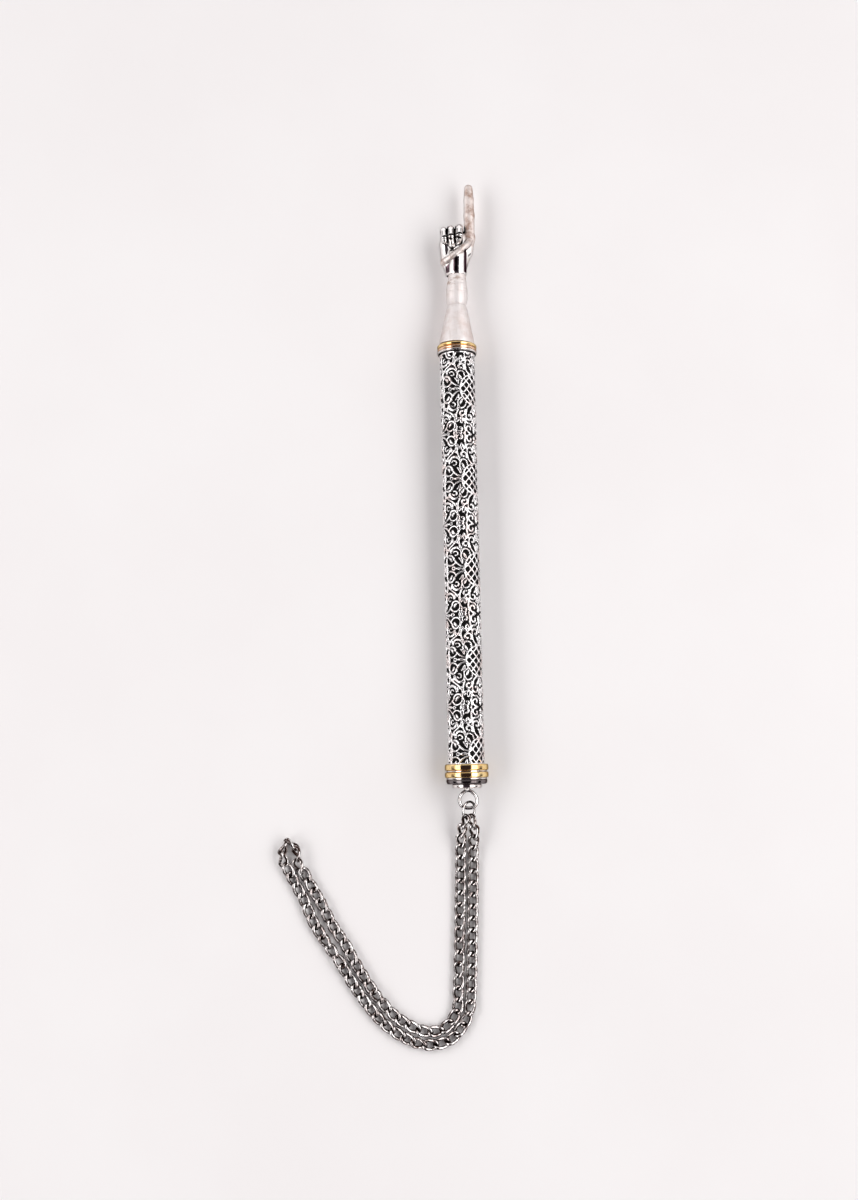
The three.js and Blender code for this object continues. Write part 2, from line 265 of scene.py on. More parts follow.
FAR_OUTER = [
    (-6.3, -193.1, LAID), (-9.1, -194.9, LAID), (-12.6, -195.9, LAID), (-16.7, -196.1, LAID),
    (-20.9, -195.0, LAID), (-27.9, -191.1, LAID), (-35.0, -184.5, LAID), (-40.4, -177.0, LAID),
    (-45.0, -169.8, LAID), (-51.6, -160.4, LAID), (-56.4, -152.5, LAID), (-58.6, -147.0, LAID),
    (-62.2, -138.5, LAID),
]
FOLD = [
    (-60.9, -131.2, 1.6), (-61.4, -128.2, 2.4), (-62.6, -125.7, 3.3), (-64.3, -124.2, 3.8),
    (-65.9, -126.0, 3.3), (-66.3, -129.2, 2.2), (-65.8, -132.4, 1.5),
]

RING_CENTRE = np.array([0.5, -14.2 + PART_SHIFT, AXIS_Z - 0.4])
RING_NORMAL = unit([1.0, -0.2, 1.0])
RING_RADIUS = 3.0
RING_WIRE = 0.42
LINK_TURN = 0.4  # how far round the jump ring each end of the chain sits

LINK_A = 2.66  # half length of a link's wire line
LINK_B = 1.55  # half width
LINK_C = 0.68  # how far the link is twisted out of its plane
LINK_WIRE = 0.6  # radius of a link's wire
LINK_PITCH = 4.16
LINK_SEAT = 1.58  # from the jump ring's wire to the middle of the first link
LINK_AIM = 1.9  # a link points along the line between the places this far behind and ahead of it
LINK_LINE = 40
LINK_SIDES = 12
FLOOR_GAP = 0.02

STRAND_GAP = 4.5  # side by side, the two strands lean together toward this distance,
LEAN_MOST = 0.6  # by at most this much each,
LEAN_REACH = 9  # and not at all where they are this far apart
OTHER_STRAND = 25  # chain this much further along counts as the other strand

ROLL_BLEND = 4  # links over which the chain turns from the jump ring's plane to lying flat
ROLL_JITTER = math.radians(10)
FOLD_ROLL = math.radians(72)  # links at the fold stand on edge
FOLD_REACH = 13.0
FOLD_FULL = 1.6  # they are full on edge before the fold's middle
# Painted shade: the walls inside each link are coloured near black, their faces and outsides bright.
LIT_FROM, LIT_SLOPE, LIT_OUTSIDE = 0.55, 0.42, 0.9  # links are bright on their faces and outsides

ring_across = unit([1.0, 0.0, -1.0])
ring_down = np.cross(ring_across, RING_NORMAL)
if ring_down[1] > 0:
    ring_down = -ring_down
UPWARD = np.array([0.0, 0.0, 1.0])


def ring_place(turn):
    """The middle of the jump ring's wire, and the wire's direction, at a turn from its lowest place."""
    place = RING_CENTRE + RING_RADIUS * (math.cos(turn) * ring_down + math.sin(turn) * ring_across)
    return place, ring_across * math.cos(turn) - ring_down * math.sin(turn)


left_hold, left_wire = ring_place(-LINK_TURN)
right_hold, right_wire = ring_place(LINK_TURN)
route = [left_hold, *NEAR_LEFT, *FAR_INNER, *FOLD, *FAR_OUTER[::-1], *NEAR_RIGHT[::-1], right_hold]
chain_line = smooth_line(route)
chain_run = measure(chain_line)
chain_length = chain_run[-1]
fold_middle = chain_run[np.argmin(np.linalg.norm(chain_line - np.array(FOLD[3]), axis=1))]

link_count = math.ceil((chain_length - 2 * LINK_SEAT) / LINK_PITCH) + 1
link_places = np.linspace(LINK_SEAT, chain_length - LINK_SEAT, link_count)
link_centres = at_length(chain_line, link_places)
link_ahead = unit(at_length(chain_line, link_places + LINK_AIM) - at_length(chain_line, link_places - LINK_AIM))

for i, centre in enumerate(link_centres.copy()):
    others = chain_line[np.abs(chain_run - link_places[i]) > OTHER_STRAND]
    pull = others[np.argmin(np.linalg.norm(others - centre, axis=1))] - centre
    gap = np.linalg.norm(pull)
    share = np.clip((gap - STRAND_GAP) / 2, 0, LEAN_MOST) * limit((LEAN_REACH - gap) / 2) / gap
    link_centres[i, :2] += pull[:2] * share

random = np.random.default_rng(SEED)
turn = circle(LINK_LINE)
link_shape = np.stack([LINK_A * np.cos(turn), LINK_B * np.sin(turn), LINK_C * np.sin(2 * turn)], -1)
chain_points, chain_faces, chain_shade, chain_light_and_shade = [], [], [], []
for i, (centre, ahead) in enumerate(zip(link_centres, link_ahead)):
    flat = unit(UPWARD - ahead * ahead[2])
    for distance, wire in ((i, left_wire), (link_count - 1 - i, right_wire)):
        if distance < ROLL_BLEND:
            share = 1 - distance / ROLL_BLEND
            wire = wire if np.dot(wire, flat) >= 0 else -wire
            held = unit(wire - ahead * np.dot(wire, ahead))
            flat = unit(held * share + flat * (1 - share))
    across = np.cross(flat, ahead)
    near_end = min(i, link_count - 1 - i) < ROLL_BLEND
    fold = max(0.0, 1 - abs(link_places[i] - fold_middle) / FOLD_REACH)
    jitter = random.normal(0, ROLL_JITTER)
    roll = FOLD_ROLL * min(1.0, FOLD_FULL * fold) + (0 if near_end else jitter)
    up = flat * math.cos(roll) + across * math.sin(roll)
    across = np.cross(up, ahead)
    line = centre + link_shape @ np.stack([ahead, across, up])
    points, faces = swept(line, LINK_WIRE, LINK_SIDES, True)
    facing = (points.reshape(LINK_LINE, LINK_SIDES, 3) - line[:, None]) / LINK_WIRE
    outward = unit(line - centre)[:, None]
    # Painted shade: 0 on the walls inside the link, 1 on its faces and outsides.
    light_and_shade = np.maximum(np.abs(facing @ up), LIT_OUTSIDE * (facing * outward).sum(-1))
    chain_light_and_shade.append(limit((light_and_shade - LIT_FROM) / LIT_SLOPE).ravel())
    if not near_end or points[:, 2].min() < FLOOR_GAP:
        points[:, 2] += FLOOR_GAP - points[:, 2].min()
    chain_faces.append(faces + len(chain_points) * LINK_LINE * LINK_SIDES)
    chain_points.append(points)
    chain_shade.append(np.full(len(points), random.uniform(0, 1)))
chain = make_mesh("chain", np.vstack(chain_points), np.vstack(chain_faces))
add_attribute(chain, "link_shade", np.concatenate(chain_shade))
add_attribute(chain, "light_and_shade", np.concatenate(chain_light_and_shade))

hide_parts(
    "chain_end_link_left", "chain_end_link_right", "chain_near_left", "chain_near_right",
    "chain_far_inner", "chain_far_outer", "chain_fold",
)
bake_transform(chain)

# ---- jump ring and hanging eye
RING_CUT = math.radians(3.0)  # the ring's wire is bent round until its ends almost meet
RING_CUT_AT = math.radians(100)
WIRE_SIDES = 20
turn = np.linspace(RING_CUT / 2, 2 * math.pi - RING_CUT / 2, 97)[:, None] + RING_CUT_AT
ring_line = RING_CENTRE + RING_RADIUS * (np.cos(turn) * ring_across + np.sin(turn) * ring_down)
ring_points, ring_faces = swept(ring_line, RING_WIRE, WIRE_SIDES, False)
jump_ring = make_mesh("jump_ring_wire", ring_points, ring_faces, sharp=50)
# Painted shade: the ring wire's flanks get near-black colour, its top and underside bright.
ring_crest = crest(ring_points[: len(ring_line) * WIRE_SIDES], ring_line, WIRE_SIDES)
add_attribute(jump_ring, "light_and_shade", np.resize(ring_crest, len(ring_points)))
stand_in(jump_ring, "jump_ring", "jump_ring")

EYE_WIRE = 0.58
EYE_OUTLINE = [
    (0.7, -13.5), (2.8, -12.7), (3.5, -10.7), (2.5, -8.5),
    (0.3, -7.2), (-2.0, -8.5), (-2.8, -10.7), (-1.9, -12.8),
]
SHANK_RADIUS = 0.8
SHANK_LOW = DISC_LOW - 0.9
SHANK_SIDES = 28
SHANK_PROFILE = [
    (0.0, SHANK_LOW - 0.35), (0.45, SHANK_LOW - 0.28), (SHANK_RADIUS * 0.85, SHANK_LOW),
    (SHANK_RADIUS, SHANK_LOW + 0.3), (SHANK_RADIUS, DISC_LOW - 0.35),
    (SHANK_RADIUS + 0.3, DISC_LOW - 0.3), (SHANK_RADIUS + 0.42, DISC_LOW - 0.15),
    (SHANK_RADIUS + 0.42, DISC_LOW - 0.03), (SHANK_RADIUS, DISC_LOW), (SHANK_RADIUS, DISC_HIGH),
    (0.0, DISC_HIGH),
]
eye_line = smooth_line([(AXIS_X + x, y + PART_SHIFT, AXIS_Z) for x, y in EYE_OUTLINE], closed=True, steps=12)
eye_points, eye_faces = swept(eye_line, EYE_WIRE, WIRE_SIDES, True)
shank_points = revolved(SHANK_PROFILE, (AXIS_X, AXIS_Z), SHANK_SIDES)
shank_faces = grid_faces(len(SHANK_PROFILE), SHANK_SIDES, False, True, len(eye_points))
hanging_eye = make_mesh(
    "eye_wire", np.vstack([eye_points, shank_points]), np.vstack([eye_faces, shank_faces]), sharp=50
)
# Painted shade: the eye wire's flanks get near-black colour, its top and underside bright.
eye_crest = crest(eye_points, eye_line, WIRE_SIDES)
add_attribute(hanging_eye, "light_and_shade", np.concatenate([eye_crest, np.ones(len(shank_points))]))
stand_in(hanging_eye, "hanging_eye")


# ---- turned rings
def arc(centre, radius, start, end, steps):
    """[radius, y] points on a circle, angles in degrees from the outward direction."""
    angles = np.radians(np.linspace(start, end, steps))
    return [(centre[0] + radius[0] * math.cos(a), centre[1] + radius[1] * math.sin(a)) for a in angles]


RING_BORE = 4.9
GROOVE_DEPTH, GROOVE_WIDTH = 0.14, 0.13
FACE_SHARE = 0.985  # how much of a ring's width its bowed face takes


def turned_ring(node, crown, square=6, taper=0.0, grooves=()):
    """A ring in its CAD node's place. Its face falls off by crown at its edges, and squarer as square grows."""
    low, high = box(node)
    outer = (high[0] - low[0]) / 2
    middle, half = (low[1] + high[1]) / 2, (high[1] - low[1]) / 2
    face = []
    for angle in np.radians(np.linspace(-89, 89, 41)):
        t = math.sin(angle)
        depth = crown * abs(t) ** square + taper * (1 - t) / 2
        depth += sum(GROOVE_DEPTH * math.exp(-(((t - g) / GROOVE_WIDTH) ** 2)) for g in grooves)
        face.append((outer - depth, middle + half * FACE_SHARE * t))
    profile = [(RING_BORE, middle - half), *face, (RING_BORE, middle + half)]
    ring = lathe(node + "_turned", profile, sharp=60)
    stand_in(ring, node)
    return ring


gold_rings = [
    turned_ring("lower_gold_ring_a", 0.4),
    turned_ring("lower_gold_ring_b", 0.45),
    turned_ring("collar_gold_ring", 0.5, square=3),
]
copper_rings = [turned_ring("collar_copper_ring", 0.45, square=3)]
silver_rings = [
    turned_ring("lower_silver_washer_a", 0.16),
    turned_ring("lower_silver_washer_b", 0.16),
    turned_ring("collar_silver_ring", 0.3, square=3),
]
# Painted shadow: the collar's dark ring is a near-black band standing in for the shade in the groove under the
# cuff.
shadow_rings = [turned_ring("collar_dark_ring", 0.15)]
dark_rings = [turned_ring("lower_dark_ring", 0.35, taper=0.45, grooves=(0.55,))]

disc_half = (disc_high[0] - disc_low[0]) / 2
disc_profile = [
    (SHANK_RADIUS + 0.25, DISC_LOW + 0.1), (2.2, DISC_LOW + 0.06), (disc_half - 0.75, DISC_LOW + 0.02),
    *arc((disc_half - 0.5, DISC_LOW + 0.5), (0.5, 0.5), -90, 0, 10),
    *arc((disc_half - 0.3, DISC_HIGH - 0.3), (0.3, 0.3), 0, 90, 8),
    (SHANK_RADIUS + 0.25, DISC_HIGH),
]
end_disc = lathe("end_disc_turned", disc_profile, sharp=40)
stand_in(end_disc, "end_disc")

# ---- cuff
HAND_CANT = math.radians(-1.4)  # the cuff and hand stand askew from the tube
CUFF_BORE = 1.6
CUFF_LENGTH = 26.8
CUFF_OUTLINE = [
    (6.5, 0.32), (6.52, 0.6), (6.46, 1.0), (6.1, 3.0), (5.5, 6.0), (4.75, 10.0), (4.1, 13.0), (3.62, 14.9),
    (3.5, 15.3), (3.55, 15.7), (3.8, 16.6), (3.98, 18.2), (4.02, 20.0), (3.88, 22.2), (3.62, 24.0),
    (3.42, 25.2), (3.3, CUFF_LENGTH),
]
CUFF_GROOVES = [(15.35, 0.16, 0.2), (20.4, 0.09, 0.22), (23.5, 0.10, 0.22), (25.5, 0.07, 0.2)]
HANDLED_AT, HANDLED_WIDTH = 24.2, 2.6  # the wrist is the most tarnished by handling
HANDLED_LEAST, HANDLED_MORE = 0.08, 0.72


def in_hand_frame(points):
    """From the canted hand's own frame to the object's."""
    x, y, z = np.asarray(points, float).T
    c, s = math.cos(HAND_CANT), math.sin(HAND_CANT)
    return np.stack([AXIS_X + c * x - s * y, COLLAR_TOP + s * x + c * y, AXIS_Z + z], -1)


cuff_line = smooth_line([(r, y, 0) for r, y in CUFF_OUTLINE], steps=14)[:, :2]
for place, depth, width in CUFF_GROOVES:
    cuff_line[:, 0] -= depth * np.exp(-(((cuff_line[:, 1] - place) / width) ** 2))
cuff_profile = np.vstack([[(CUFF_BORE, CUFF_OUTLINE[0][1])], cuff_line, [(CUFF_BORE, CUFF_LENGTH)]])
cuff_points = revolved(cuff_profile, (0, 0), TURNED_SIDES)
cuff_faces = grid_faces(len(cuff_profile), TURNED_SIDES, True, True)
cuff = make_mesh("cuff_cast", in_hand_frame(cuff_points), cuff_faces, sharp=50)
handled = np.exp(-(((cuff_points[:, 1] - HANDLED_AT) / HANDLED_WIDTH) ** 2))
add_attribute(cuff, "handled", HANDLED_LEAST + HANDLED_MORE * handled)
stand_in(cuff, "cuff")


# ---- hand
def to_bar(p, a, b, ra, rb, flat=1.0):
    """Distance to a tapered round bar with ball ends; flat above 1 squeezes it out of the palm's plane."""
    a, b = np.asarray(a, float), np.asarray(b, float)
    q = p - a
    d = b - a
    t = limit(q @ d / (d @ d))
    off = q - t[:, None] * d
    off[:, 2] *= flat
    return np.sqrt((off * off).sum(1)) - (ra + (rb - ra) * t)


def to_ball(p, centre, half):
    """Distance to an ellipsoid, near enough close to its surface."""
    q = (p - np.asarray(centre, float)) / half
    k0 = np.sqrt((q * q).sum(1))
    k1 = np.sqrt(((q / half) ** 2).sum(1))
    return k0 * (k0 - 1) / np.maximum(k1, 1e-9)


def join(a, b, k):
    """Smooth union over a width k."""
    h = limit(0.5 + 0.5 * (b - a) / k)
    return b + (a - b) * h - k * h * (1 - h)


def carve(a, b, k):
    """Smooth removal of b from a."""
    return -join(-a, b, k)


# Curled fingers: across, top of the fold, radius, fingertip across and along.
CURLED = [(-5.05, 18.3, 1.15, (-4.2, 11.6)), (-2.45, 18.9, 1.32, (-1.9, 10.2)), (0.72, 19.4, 1.5, (0.7, 11.4))]

# Lines cut between and across the curled fingers, made dark with painted shade: start, end, start and end
# radius.
CUTS = [
    ((-3.85, 21.0, 2.8), (-3.8, 13.4, 3.3), 0.5, 0.34),
    ((-3.85, 21.0, 1.2), (-3.8, 13.4, 1.8), 0.45, 0.34),
    ((-0.98, 21.0, 2.8), (-0.9, 13.8, 3.3), 0.5, 0.3),
    ((-0.98, 21.0, 1.2), (-0.9, 13.8, 1.8), 0.45, 0.3),
    ((2.5, 20.4, 1.4), (2.5, 12.6, 2.4), 0.26, 0.22),
]
for middle, top, _, _ in CURLED:
    CUTS += [
        ((middle - 1.3, top - 4.6, 4.2), (middle + 1.3, top - 4.1, 4.2), 0.34, 0.34),
        ((middle - 1.3, top - 5.7, 4.1), (middle + 1.3, top - 6.2, 4.1), 0.36, 0.3),
        ((middle - 0.9, top - 7.4, 3.6), (middle + 0.9, top - 7.9, 3.5), 0.3, 0.26),
    ]


def cut_distance(p):
    """Distance to the nearest dark cut."""
    return np.minimum.reduce([to_bar(p, *cut) for cut in CUTS])


RIM = [
    (-5.0, 4.9, 0.5), (-4.0, 5.2, 1.8), (-2.3, 6.1, 3.1), (-0.4, 7.3, 3.85),
    (1.6, 8.9, 3.95), (3.4, 10.8, 3.0), (4.6, 13.0, 1.5),
]
RIM_RADIUS = 1.22


def rim_distance(p):
    """Distance to the raised edge of the thumb, which crosses the palm aslant."""
    return np.minimum.reduce([to_bar(p, a, b, RIM_RADIUS, RIM_RADIUS) for a, b in zip(RIM[:-1], RIM[1:])])


def hand_distance(p):
    """Distance to the hand's surface, negative inside, in the hand's own frame with the wrist at its start."""
    wrist = to_bar(p, (0.0, -3.0, 0.0), (0.0, 1.0, 0.0), 3.28, 3.3)
    heel = to_bar(p, (0.05, -0.6, 0.0), (0.1, 7.4, 0.95), 3.2, 3.5)
    little_side = to_bar(p, (-1.0, -1.0, -0.3), (-3.5, 6.0, -0.3), 2.4, 2.4)
    little_side = join(little_side, to_bar(p, (-3.5, 6.0, -0.3), (-4.0, 12.0, -0.3), 2.4, 2.3), 0.6)
    first_side = to_bar(p, (0.3, -1.0, -0.3), (3.2, 10.5, -0.3), 2.35, 2.3)
    palm = to_ball(p, (-0.3, 10.4, -0.8), (5.7, 7.6, 2.9))
    body = join(join(wrist, palm, 1.2), join(little_side, first_side, 1.0), 0.9)
    body = join(body, heel, 0.6)
    back = to_ball(p, (-1.9, 13.2, -0.8), (4.4, 5.5, 2.3))
    body = join(body, back, 1.2)
    index = to_bar(p, (4.2, 9.0, -0.5), (4.65, 15.0, -0.6), 1.7, 2.0)
    index = join(index, to_bar(p, (4.65, 14.6, -0.6), (4.5, 23.8, -0.6), 2.0, 2.0), 0.8)
    index = join(index, to_bar(p, (4.5, 23.8, -0.6), (4.35, 29.6, -0.65), 2.0, 1.88), 0.5)
    index = join(index, to_bar(p, (4.35, 29.4, -0.65), (4.2, 34.1, -0.7), 1.88, 1.58), 0.5)
    body = join(body, index, 0.8)
    hollow = to_ball(p, (-1.6, 10.6, 4.4), (3.4, 2.2, 2.6))
    body = carve(body, hollow, 0.4)
    body = join(body, rim_distance(p), 0.3)
    for x, top, r, tip in CURLED:
        root = to_bar(p, (x * 0.96, 10.5, -1.3), (x, top - r, -0.7), r * 1.1, r * 1.08)
        fold = to_bar(p, (x, top - r, -0.7), (x, top - r * 1.1, 1.9), r * 1.06, r)
        middle = to_bar(p, (x, top - r * 1.1, 1.9), (x * 0.95, top - 4.4, 2.9), r, r * 0.94)
        joint = to_ball(p, (x * 0.95, top - 4.9, 3.0), (r * 1.12, 0.75, r * 1.05))
        last = to_bar(p, (x * 0.94, top - 5.6, 2.7), (tip[0], tip[1] + r * 0.8, 1.9), r * 0.96, r * 0.84)
        bent = join(root, fold, 0.4)
        bent = join(bent, middle, 0.3)
        bent = join(bent, joint, 0.12)
        bent = join(bent, last, 0.10)
        body = join(body, bent, 0.14)
        nail_place = (tip[0], tip[1] + r * 1.3, 1.9 + r * 0.86)
        nail = to_ball(p, nail_place, (r * 0.5, r * 0.7, 0.25))
        body = join(body, nail, 0.06)
    body = carve(body, cut_distance(p), 0.12)
    nail = to_ball(p, (4.2, 32.9, -2.35), (0.9, 1.6, 0.25))
    body = join(body, nail, 0.08)
    return body


def window(spans):
    """Slices of a 3-D array: the given spans by axis, and all of the other axes."""
    return tuple(spans.get(axis, slice(None)) for axis in range(3))


def surface_of(field, origin, step):
    """Surface nets: one point for each cell that the surface crosses, one face for each crossed grid edge."""
    cells = np.array(field.shape) - 1
    total = np.zeros((*cells, 3))
    count = np.zeros(cells)
    crossings = []
    index = np.stack(np.meshgrid(*[np.arange(n) for n in field.shape], indexing="ij"), -1).astype(float)
    for axis in range(3):
        low = window({axis: slice(0, -1)})
        a, b = field[low], field[window({axis: slice(1, None)})]
        crossed = (a < 0) != (b < 0)
        place = index[low].copy()
        place[..., axis] += np.where(crossed, a / np.where(crossed, a - b, 1), 0)
        u, v = [i for i in range(3) if i != axis]
        for du, dv in ((0, 0), (0, 1), (1, 0), (1, 1)):
            part = window({u: slice(du, du + cells[u]), v: slice(dv, dv + cells[v])})
            total += place[part] * crossed[part][..., None]
            count += crossed[part]
        crossings.append((crossed, a < 0, u, v))
    used = count > 0
    number = np.full(tuple(cells), -1)
    number[used] = np.arange(used.sum())
    points = origin + step * total[used] / count[used][:, None]
    faces = []
    for axis, (crossed, inside, u, v) in enumerate(crossings):
        where = np.argwhere(crossed[window({u: slice(1, -1), v: slice(1, -1)})])
        where[:, [u, v]] += 1
        start_inside = inside[tuple(where.T)]
        corners = []
        for du, dv in ((1, 1), (0, 1), (0, 0), (1, 0)):
            cell = where.copy()
            cell[:, u] -= du
            cell[:, v] -= dv
            corners.append(number[tuple(cell.T)])
        quad = np.stack(corners, -1)
        forward = start_inside if axis != 1 else ~start_inside
        faces.append(np.where(forward[:, None], quad, quad[:, ::-1]))
    return points, np.vstack(faces)


def slope(distance, points, reach=0.03):
    """How fast a distance grows along each axis at the points."""
    parts = []
    for axis in range(3):
        shift = np.zeros(3)
        shift[axis] = reach
        parts.append(distance(points + shift) - distance(points - shift))
    return np.stack(parts, -1) / (2 * reach)


HAND_STEP = 0.17
hand_low, hand_high = np.array([-7.2, -0.9, -5.2]), np.array([7.8, 36.2, 6.2])
axes = [np.arange(a, b, HAND_STEP) for a, b in zip(hand_low, hand_high)]
lattice = np.stack(np.meshgrid(*axes, indexing="ij"), -1).reshape(-1, 3)
field = np.concatenate([hand_distance(part) for part in np.array_split(lattice, 24)])
field = np.maximum(field, -lattice[:, 1])  # the hand ends flat on the cuff
field = field.reshape([len(a) for a in axes])
hand_points, hand_faces = surface_of(field, hand_low, HAND_STEP)
for _ in range(2):
    flat_end = hand_points[:, 1] < 0.25
    gradient = slope(hand_distance, hand_points)
    move = hand_distance(hand_points)[:, None] * gradient / np.maximum((gradient**2).sum(1), 0.2)[:, None]
    hand_points = hand_points - np.where(flat_end[:, None], 0, np.clip(move, -0.1, 0.1))
gradient = unit(slope(hand_distance, hand_points) + 1e-9)

# Where the metal looks different: painted shade in the creases, painted dark reflection bands across the top of
# the heel, the index finger and the thumb's edge.
CREVICE_REACH = (0.35, 0.9)
CUT_REACH = 0.22
# The heel's bands are painted reflection: dark stripes on its top.
HEEL_BANDS = ((-3.5, 0.85), (-0.7, 0.95), (3.0, 0.6))  # middle and half width across the heel
HEEL_START, HEEL_END, HEEL_SLANT = 0.5, 7.0, 0.8
INDEX_FROM = (2.3, 8)  # across and along
RIM_REACH, RIM_SHARE = 0.35, 0.7
# Painted shade: the colour darkens where more of the hand closes round the surface, and along the cuts.
crevice_shade = np.zeros(len(hand_points))
for reach in CREVICE_REACH:
    crevice_shade += limit(1 - hand_distance(hand_points + reach * gradient) / reach) / 2
crevice_shade = np.maximum(crevice_shade, limit(1 - cut_distance(hand_points) / CUT_REACH))
side, ahead, rise = hand_points.T
# Painted reflection: dark bands across the top of the heel stand in for the dark overhead that the polished
# metal reflects.
heel_reflection = sum(np.exp(-(((side - middle) / half) ** 4)) for middle, half in HEEL_BANDS)
heel_reflection *= limit((ahead - HEEL_START) / 0.5) * limit(rise)
heel_reflection *= limit((HEEL_END + HEEL_SLANT * side - ahead) / 0.9)
index_side = limit(side - INDEX_FROM[0]) * limit((ahead - INDEX_FROM[1]) / 5)
rim_side = limit(1 - rim_distance(hand_points) / RIM_REACH)
index_side = np.maximum(index_side, RIM_SHARE * rim_side)
hand = make_mesh("hand_cast", in_hand_frame(hand_points + [0, CUFF_LENGTH, 0]), hand_faces)
add_attribute(hand, "crevice_shade", crevice_shade)
add_attribute(hand, "heel_reflection", heel_reflection)
add_attribute(hand, "index_side", index_side)
stand_in(hand, "pointing_hand")

# ---- relief sleeve
# The relief repeats every PERIOD along the tube in two columns set half a period apart. Each stroke is
# drawn once, across and along from a medallion's middle, and mirrored both ways.
PERIOD = 33.0
GIRTH = 2 * math.pi * SLEEVE_RADIUS
COLUMN = GIRTH / 2
MEDALLION_ACROSS = 6.5  # where the first column lies, round from the top
MEDALLION_ALONG = sleeve_low[1] + 69.6
MEDALLION_RADIUS = 5.8
LATTICE = 3.1
RELIEF = 0.52
SLEEVE_BORE = 5.85


def curl(centre, radius, start, end, width, steps=40, end_radius=None, end_width=None):
    """An arc or spiral stroke, as rows of across, along and half width."""
    t = np.linspace(0, 1, steps)
    a = np.radians(start + (end - start) * t)
    r = radius + ((radius if end_radius is None else end_radius) - radius) * t
    w = width + ((width if end_width is None else end_width) - width) * t
    return np.stack([centre[0] + r * np.cos(a), centre[1] + r * np.sin(a), w / 2], -1)


def vine(points, width, end_width=None, steps=10):
    """A flowing stroke through points."""
    line = smooth_line([(*p, 0) for p in points], steps=steps)
    w = np.linspace(width, width if end_width is None else end_width, len(line))
    return np.stack([line[:, 0], line[:, 1], w / 2], -1)


def leaf(start, end, width, bow=0.0, steps=16):
    """A pointed leaf from start to end, fattest near its middle."""
    a, b = np.array(start, float), np.array(end, float)
    side = np.array([-(b - a)[1], (b - a)[0]])
    t = np.linspace(0, 1, steps)[:, None]
    line = a + (b - a) * t + side * bow * np.sin(math.pi * t)
    w = width * np.sin(math.pi * (0.08 + 0.9 * t[:, 0])) ** 0.8
    return np.column_stack([line, w / 2])


def rosette(centre, radius, petals, start, width):
    """Leaves set round a middle."""
    rows = []
    for i in range(petals):
        a = math.radians(start + 360 * i / petals)
        root, tip = [
            (centre[0] + r * math.cos(a), centre[1] + r * math.sin(a)) for r in (0.25 * radius, radius)
        ]
        rows.append(leaf(root, tip, width))
    return np.vstack(rows)


STROKES = [
    curl((0, 0), MEDALLION_RADIUS, 0, 90, 0.6, 90),
    # the cartouche beside the medallion
    curl((11.2, 3.1), 2.2, -150, 175, 0.6, 70, end_radius=1.5, end_width=0.8),
    leaf((10.6, 2.4), (11.9, 4.0), 0.9, 0.15),
    vine([(5.8, 0.8), (7.2, 1.1), (8.5, 1.9), (9.2, 2.7)], 0.55, 0.65),
    leaf((6.2, 0.0), (9.3, 0.0), 1.0),
    curl((9.9, 0.0), 0.55, 0, 180, 0.45, 20),
    leaf((6.5, 1.9), (8.0, 4.0), 1.0, 0.15),
    vine([(5.0, 3.0), (6.0, 3.4), (6.9, 4.4), (6.8, 5.4)], 0.55, 0.55),
    leaf((5.1, 3.7), (6.1, 5.6), 0.9),
    curl((8.7, 5.6), 2.0, 5, 178, 1.0, 50, end_width=0.7),
    curl((8.8, 5.4), 0.95, 30, 300, 0.5, 30, end_radius=0.6),
    vine([(6.7, 5.9), (6.1, 6.8), (5.1, 6.9), (4.1, 6.4), (3.6, 5.0)], 0.7, 0.55),
    vine([(12.9, 5.1), (12.4, 6.7), (11.4, 7.6), (10.375, 8.25)], 0.6, 0.6),
    leaf((10.9, 5.9), (11.3, 7.4), 0.8),
    curl((13.2, 0.0), 0.7, 0, 180, 0.55, 24),
    # palmettes and volutes between one medallion and the next
    leaf((0, 6.2), (0, 9.6), 1.5),
    leaf((0.6, 6.3), (2.1, 8.7), 1.1, 0.2),
    vine([(1.6, 5.8), (2.9, 6.8), (3.5, 8.0), (3.7, 9.2)], 0.65, 0.6),
    curl((2.3, 10.2), 1.5, -20, 290, 0.65, 50, end_radius=0.55, end_width=0.85),
    rosette((0, 11.5), 1.5, 6, 30, 0.9),
    vine([(3.7, 10.4), (3.9, 11.6), (3.2, 12.5), (1.9, 12.7), (0.9, 13.6)], 0.65, 0.6),
    curl((2.5, 14.6), 1.5, 100, -200, 0.65, 50, end_radius=0.55, end_width=0.8),
    leaf((0, 13.2), (0, 16.1), 1.3),
    leaf((1.3, 16.5), (2.9, 16.5), 0.8),
    leaf((0.9, 9.6), (1.6, 11.6), 0.55),
    # the middle of the field
    curl((5.3, 8.6), 1.35, 210, -110, 0.65, 44, end_radius=0.5, end_width=0.8),
    leaf((5.4, 10.1), (5.5, 12.9), 1.5),
    leaf((5.0, 10.6), (4.1, 12.9), 0.95, 0.15),
    leaf((5.9, 10.5), (7.1, 12.4), 1.0, -0.15),
    vine([(6.8, 7.4), (7.4, 8.6), (7.6, 10.0), (7.2, 11.2), (8.3, 12.4)], 0.6, 0.6),
    curl((6.0, 14.9), 1.35, -40, 270, 0.65, 50, end_radius=0.5, end_width=0.8),
    vine([(4.1, 12.6), (4.3, 14.2), (4.1, 15.6), (4.4, 16.5)], 0.6, 0.6),
    vine([(7.3, 14.4), (7.9, 15.4), (7.9, 16.5)], 0.6, 0.55),
    leaf((5.2, 16.5), (7.2, 16.5), 0.9),
    leaf((7.5, 8.9), (9.2, 9.9), 0.95, 0.1),
    leaf((7.1, 13.5), (8.2, 13.3), 0.6),
    leaf((3.1, 8.4), (4.4, 7.4), 0.7),
]
stroke_rows = np.vstack(STROKES)


def wrapped(values, span):
    """Distance to the nearest whole number of spans."""
    return np.abs((values + span / 2) % span - span / 2)


STROKES_REACH = 15.5  # no stroke of a column lies further across than this
FAR_AWAY = 9.0
BAND_HALF, NODE_RADIUS = 0.29, 0.58  # the medallions' lattice and the knots at its crossings


